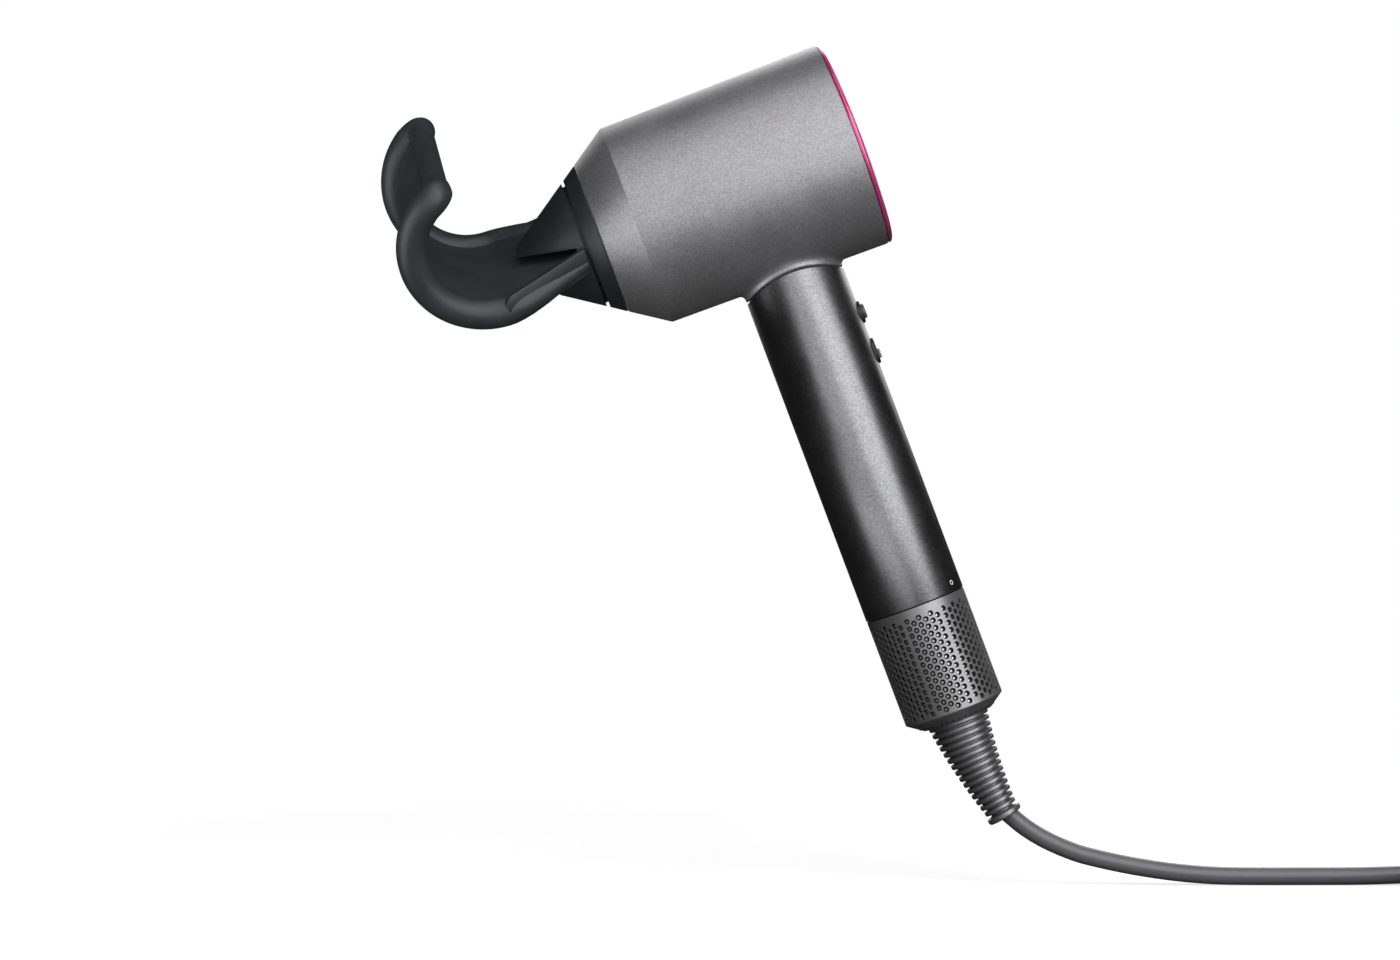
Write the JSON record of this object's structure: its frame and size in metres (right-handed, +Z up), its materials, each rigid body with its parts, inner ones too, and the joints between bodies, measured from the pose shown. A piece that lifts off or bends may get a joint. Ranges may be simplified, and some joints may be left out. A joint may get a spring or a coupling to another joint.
{
  "type": "hair dryer",
  "caption": "Hand-held hair dryer, tilted nose-down, with a round head, straight handle, filter cage, ribbed strain relief, curved smoothing attachment and coiled lead with plug.",
  "frame": {"origin": "underside of the head, under its axis and 27.7 mm in front of the handle's axis, where a cradle carries the head", "axes": "+Z up; +X towards the air inlet at the rear of the head; the whole dryer leans 20.6 degrees nose-down about +Y"},
  "size_m": [0.4746, 0.1434, 0.3019],
  "materials": {
    "grey_shell": "satin metal-flake grey paint",
    "handle_shell": "satin metal-flake grey paint, darker at the sides",
    "pink": "smooth fuchsia, pearl sheen",
    "grey_plastic": "satin moulded grey",
    "dark_plastic": "satin moulded blue-black",
    "soft_dark": "soft-touch blue-black",
    "cord_grey": "smooth grey cable sheath",
    "black_rubber": "matt black rubber",
    "tie_strap": "black hook-and-loop strap",
    "board": "green circuit board",
    "magnet": "nickel-plated magnet",
    "steel": "plain steel",
    "pin_metal": "bright nickel plating",
    "impeller_metal": "machined aluminium",
    "heater": "heat-tinted resistance wire",
    "mica": "mica sheet",
    "foam": "dark open-cell foam",
    "lens": "clear-white light window"
  },
  "bodies": {
    "dryer": {"head_shell": "grey_shell", "bore_liner": "pink", "outlet_ring": "dark_plastic", "seat_magnet_ring": "magnet", "heater_former": "mica", "heater_coil": "heater", "heat_shield": "steel", "thermal_cutout": "steel", "ion_emitter": "dark_plastic", "control_board": "board", "speed_lights": "lens", "temperature_lights": "lens", "handle_tube": "handle_shell", "neck_ring": "dark_plastic", "alignment_mark": "lens", "cold_shot_bezel": "dark_plastic", "power_slider_bezel": "dark_plastic", "switch_board": "board", "acoustic_sleeve": "foam", "motor_board": "board", "motor_can": "steel", "motor_mount_top": "black_rubber", "motor_mount_bottom": "black_rubber", "stator": "steel", "vane_hub": "steel", "bearing_top": "steel", "bearing_bottom": "steel", "filter_frame": "dark_plastic", "mesh_filter": "steel", "end_cap": "dark_plastic", "cap_screw_1": "steel", "cap_screw_2": "steel", "inner_lead": "cord_grey", "boot": "grey_plastic", "cord_lead": "cord_grey", "cord_tail": "cord_grey", "cord_coil": "cord_grey", "coil_tie": "tie_strap", "plug_body": "cord_grey", "plug_pin_1": "pin_metal", "plug_pin_2": "pin_metal"},
    "attachment_ring": {"attachment_collar": "dark_plastic", "attachment_magnet_ring": "magnet"},
    "attachment": {"nozzle_upper_shell": "dark_plastic", "nozzle_lower_shell": "dark_plastic", "smoothing_blade": "soft_dark", "rim_rail": "soft_dark", "side_arm_near": "dark_plastic", "side_arm_far": "dark_plastic"},
    "cage": {"filter_cage": "grey_plastic"},
    "slider": {"power_slider": "grey_plastic"},
    "cold_shot": {"cold_shot_button": "grey_plastic"},
    "speed": {"speed_button": "grey_plastic"},
    "temperature": {"temperature_button": "grey_plastic"},
    "rotor": {"motor_shaft": "steel", "rotor_magnet": "magnet", "impeller": "impeller_metal"}
  },
  "joints": [
    {"name": "attachment_pull", "type": "slide", "parent": "dryer", "child": "attachment_ring", "axis": [-0.9361, 0, -0.3518], "range_m": [0, 0.04]},
    {"name": "attachment_swivel", "type": "hinge", "parent": "attachment_ring", "child": "attachment", "pos_m": [-0.04264, 0, 0.02393], "axis": [-0.9361, 0, -0.3518], "continuous": true},
    {"name": "filter_cage_slide", "type": "slide", "parent": "dryer", "child": "cage", "axis": [0.3518, 0, -0.9361], "range_m": [0, 0.03]},
    {"name": "power_slide", "type": "slide", "parent": "dryer", "child": "slider", "axis": [-0.3518, 0, 0.9361], "range_m": [0, 0.0029]},
    {"name": "cold_shot_push", "type": "slide", "parent": "dryer", "child": "cold_shot", "axis": [-0.9361, 0, -0.3518], "range_m": [0, 0.0012], "stiffness_N_per_m": 600, "springref_m": -0.001},
    {"name": "speed_push", "type": "slide", "parent": "dryer", "child": "speed", "axis": [-0.6437, 0.3022, -0.7031], "range_m": [0, 0.0008], "stiffness_N_per_m": 600, "springref_m": -0.001},
    {"name": "temperature_push", "type": "slide", "parent": "dryer", "child": "temperature", "axis": [-0.6437, -0.3022, -0.7031], "range_m": [0, 0.0008], "stiffness_N_per_m": 600, "springref_m": -0.001},
    {"name": "rotor_spin", "type": "hinge", "parent": "dryer", "child": "rotor", "pos_m": [0.05619, 0, -0.07076], "axis": [-0.3518, 0, 0.9361], "continuous": true}
  ]
}
